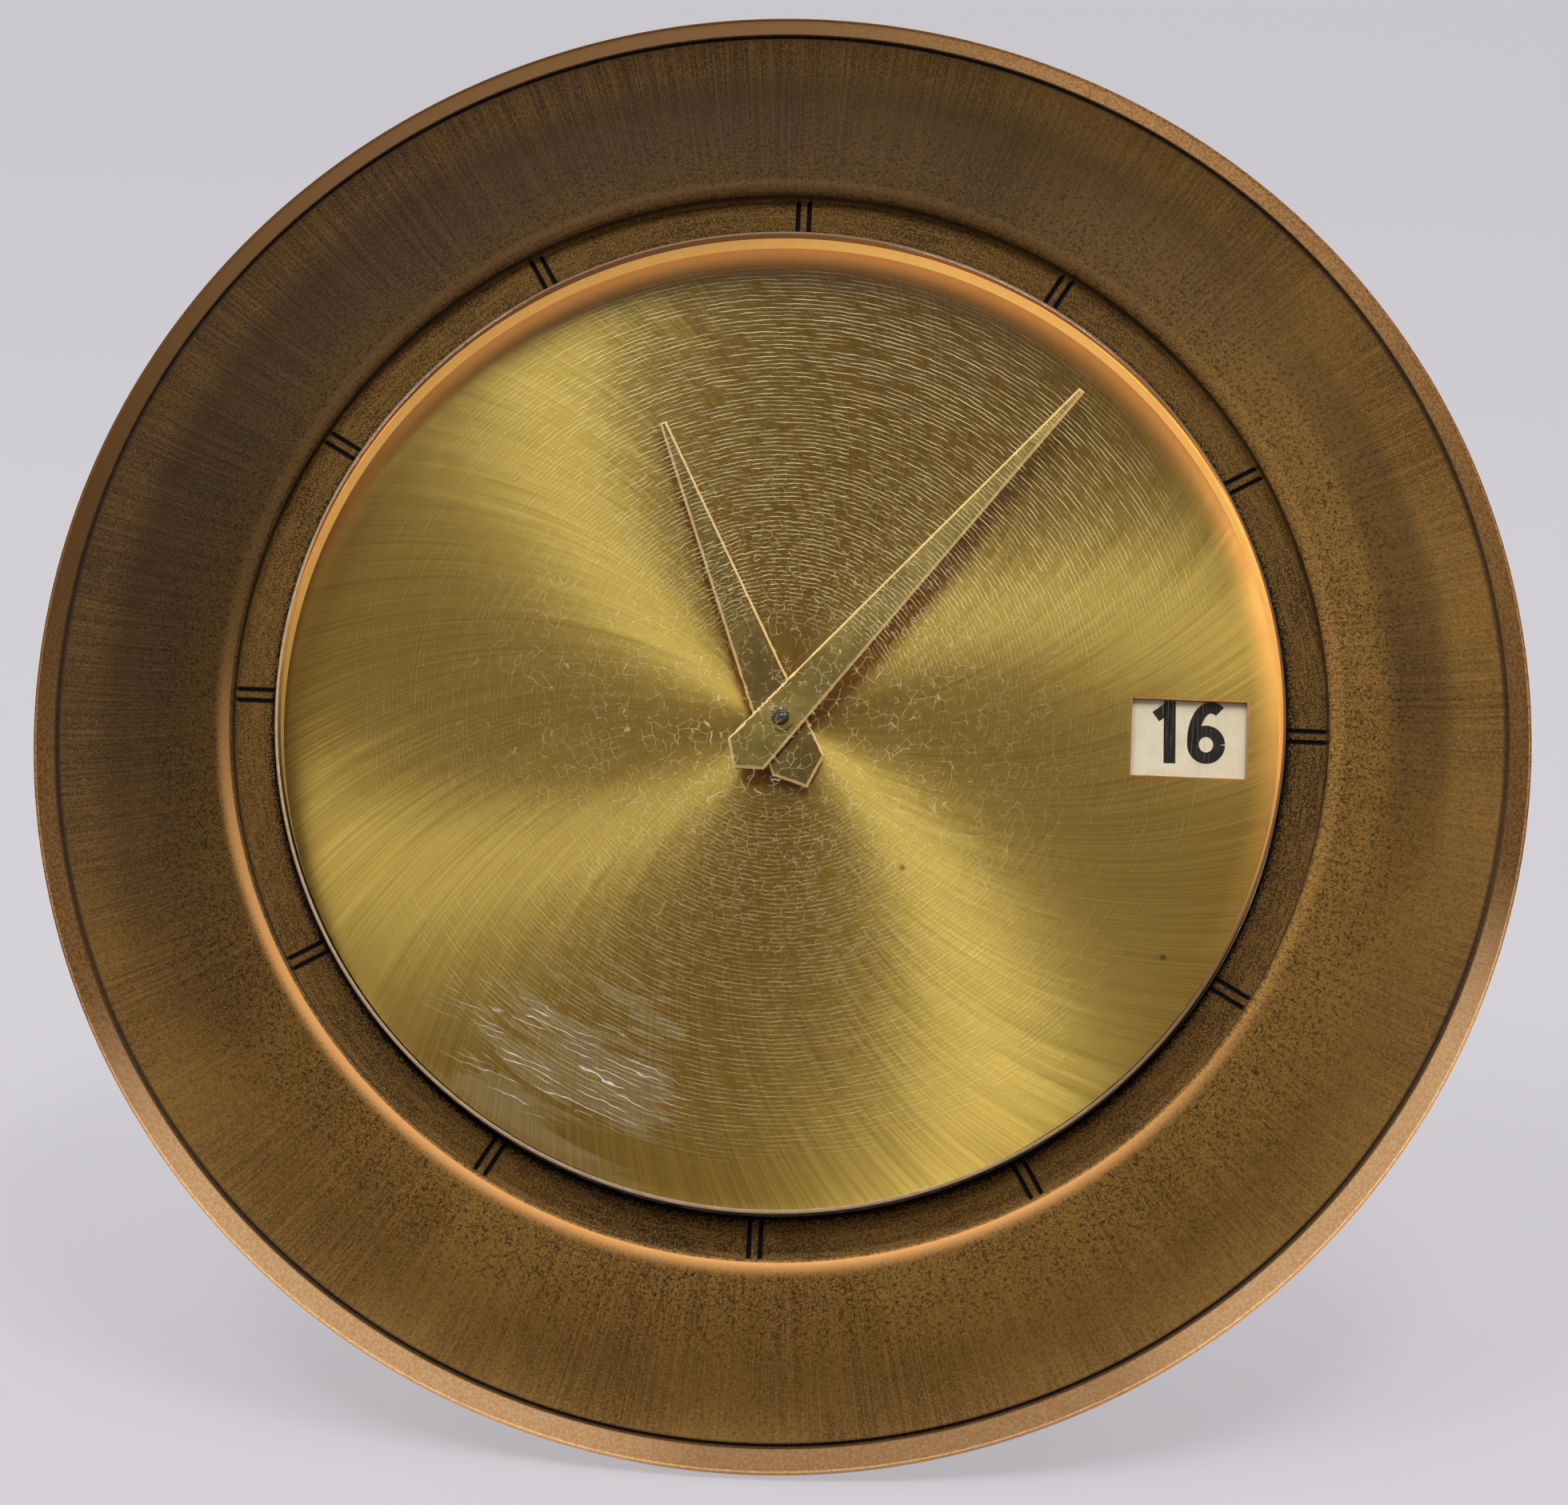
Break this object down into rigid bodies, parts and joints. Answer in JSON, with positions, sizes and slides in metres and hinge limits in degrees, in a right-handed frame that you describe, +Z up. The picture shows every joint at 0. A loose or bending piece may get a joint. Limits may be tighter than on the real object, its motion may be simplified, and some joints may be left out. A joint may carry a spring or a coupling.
{
  "type": "desk clock",
  "caption": "Round tilted desk clock with a dished bezel, recessed hour ring, domed crystal, gilt dial, two hands, a date window and a key-wound geared movement in a turned case on a rear foot.",
  "frame": {"origin": "on the table under the middle of the clock's bounding box", "axes": "+Z up, +X towards three o'clock as the reader sees it, -Y towards the reader; the dial leans back 30 degrees from upright"},
  "size_m": [0.15, 0.0854, 0.1307],
  "materials": {
    "bezel_bronze": "brown patinated bronze, lathe brushed, worn bright at the edges",
    "case_brass": "aged lacquered brass, turned",
    "dial_gilt": "gilt, fine concentric brushing",
    "hand_gilt": "polished gilt with bevelled edges",
    "date_enamel": "cream enamel with black numerals",
    "movement_brass": "clean machined brass",
    "steel": "polished steel",
    "spring_steel": "tempered spring steel",
    "blued_steel": "heat-blued steel",
    "acrylic": "clear acrylic, crazed with age",
    "gasket_rubber": "black rubber",
    "felt": "dark green felt"
  },
  "bodies": {
    "case": {"bezel": "bezel_bronze", "crystal": "acrylic", "crystal_gasket": "gasket_rubber", "dial_ring": "dial_gilt", "dial": "dial_gilt", "dial_plate": "movement_brass", "date_jumper": "spring_steel", "date_jumper_screw": "blued_steel", "dial_plate_screws": "blued_steel", "front_plate": "movement_brass", "back_plate": "movement_brass", "pillars": "movement_brass", "back_plate_screws": "blued_steel", "balance_cock": "movement_brass", "cock_screw": "blued_steel", "hairspring": "spring_steel", "click_spring": "spring_steel", "click_screw": "blued_steel", "case_back": "case_brass", "back_cover": "case_brass", "case_screws": "steel", "cover_screws": "steel", "rear_foot": "case_brass", "foot_screws": "steel", "foot_felt": "felt"},
    "setting_knob": {"hand_setting_knob": "case_brass", "hand_setting_arbor": "steel"},
    "minute_hand": {"minute_hand": "hand_gilt", "cannon_pinion": "movement_brass"},
    "hour_hand": {"hour_hand": "hand_gilt", "hour_wheel": "movement_brass"},
    "minute_wheel": {"minute_wheel": "movement_brass"},
    "date_wheel": {"date_wheel": "movement_brass"},
    "date_ring": {"date_ring": "date_enamel"},
    "date_knob": {"date_setting_knob": "case_brass", "date_setting_star": "steel"},
    "key": {"winding_key": "case_brass", "barrel_arbor": "steel", "ratchet_wheel": "steel"},
    "barrel": {"barrel_drum": "movement_brass", "barrel_cover": "movement_brass", "mainspring": "spring_steel"},
    "intermediate_wheel": {"intermediate_wheel": "movement_brass"},
    "centre_wheel": {"centre_wheel": "movement_brass"},
    "third_wheel": {"third_wheel": "movement_brass"},
    "fourth_wheel": {"fourth_wheel": "movement_brass"},
    "escape_wheel": {"escape_wheel": "movement_brass"},
    "pallet_fork": {"pallet_fork": "steel"},
    "balance": {"balance_wheel": "movement_brass"}
  },
  "joints": [
    {"name": "hand_setting", "type": "hinge", "parent": "case", "child": "setting_knob", "pos_m": [-0.01037, -0.00962, 0.06391], "axis": [0, -0.866, 0.5], "continuous": true},
    {"name": "minute_hand_turn", "type": "hinge", "parent": "case", "child": "minute_hand", "pos_m": [0, -0.00773, 0.06718], "axis": [0, -0.866, 0.5], "continuous": true},
    {"name": "hour_hand_turn", "type": "hinge", "parent": "case", "child": "hour_hand", "pos_m": [0, -0.00773, 0.06718], "axis": [0, -0.866, 0.5], "continuous": true},
    {"name": "minute_wheel_turn", "type": "hinge", "parent": "case", "child": "minute_wheel", "pos_m": [-0.00677, -0.0065, 0.06931], "axis": [0, -0.866, 0.5], "continuous": true},
    {"name": "date_wheel_turn", "type": "hinge", "parent": "case", "child": "date_wheel", "pos_m": [-0.00591, -0.01585, 0.05311], "axis": [0, -0.866, 0.5], "continuous": true},
    {"name": "date_ring_turn", "type": "hinge", "parent": "case", "child": "date_ring", "pos_m": [0, -0.00773, 0.06718], "axis": [0, -0.866, 0.5], "continuous": true, "deforming": ["date_jumper"]},
    {"name": "date_knob_turn", "type": "hinge", "parent": "case", "child": "date_knob", "pos_m": [-0.02228, -0.0013, 0.07832], "axis": [0, -0.866, 0.5], "continuous": true},
    {"name": "winding", "type": "hinge", "parent": "case", "child": "key", "pos_m": [0, -0.01723, 0.05072], "axis": [0, -0.866, 0.5], "range_deg": [-3600, 0], "deforming": ["click_spring", "mainspring"]},
    {"name": "barrel_turn", "type": "hinge", "parent": "case", "child": "barrel", "pos_m": [0, -0.01723, 0.05072], "axis": [0, -0.866, 0.5], "continuous": true},
    {"name": "intermediate_wheel_turn", "type": "hinge", "parent": "case", "child": "intermediate_wheel", "pos_m": [0.00806, -0.01069, 0.06205], "axis": [0, -0.866, 0.5], "continuous": true},
    {"name": "centre_wheel_turn", "type": "hinge", "parent": "case", "child": "centre_wheel", "pos_m": [0, -0.00773, 0.06718], "axis": [0, -0.866, 0.5], "continuous": true},
    {"name": "third_wheel_turn", "type": "hinge", "parent": "case", "child": "third_wheel", "pos_m": [0.00495, -0.00345, 0.0746], "axis": [0, -0.866, 0.5], "continuous": true},
    {"name": "fourth_wheel_turn", "type": "hinge", "parent": "case", "child": "fourth_wheel", "pos_m": [0.01345, -0.00345, 0.0746], "axis": [0, -0.866, 0.5], "continuous": true},
    {"name": "escape_wheel_turn", "type": "hinge", "parent": "case", "child": "escape_wheel", "pos_m": [0.01345, 0.00051, 0.08146], "axis": [0, -0.866, 0.5], "continuous": true},
    {"name": "pallet_fork_rock", "type": "hinge", "parent": "case", "child": "pallet_fork", "pos_m": [0.00913, 0.0013, 0.08282], "axis": [0, -0.866, 0.5], "range_deg": [-3, 3]},
    {"name": "balance_swing", "type": "hinge", "parent": "case", "child": "balance", "pos_m": [0.00424, 0.00219, 0.08436], "axis": [0, -0.866, 0.5], "range_deg": [-220, 220], "stiffness_Nm_per_rad": 0.000005, "deforming": ["hairspring"]}
  ],
  "couplings": [
    {"joint": "minute_hand_turn", "follows": "hand_setting", "ratio": 1},
    {"joint": "minute_wheel_turn", "follows": "hand_setting", "ratio": -0.33333},
    {"joint": "hour_hand_turn", "follows": "hand_setting", "ratio": 0.083333},
    {"joint": "date_wheel_turn", "follows": "hand_setting", "ratio": -0.041667},
    {"joint": "date_knob_turn", "follows": "date_ring_turn", "ratio": 5.1667},
    {"joint": "barrel_turn", "follows": "centre_wheel_turn", "ratio": 0.05},
    {"joint": "intermediate_wheel_turn", "follows": "centre_wheel_turn", "ratio": -0.25},
    {"joint": "third_wheel_turn", "follows": "centre_wheel_turn", "ratio": -8},
    {"joint": "fourth_wheel_turn", "follows": "centre_wheel_turn", "ratio": 60},
    {"joint": "escape_wheel_turn", "follows": "centre_wheel_turn", "ratio": -600}
  ]
}
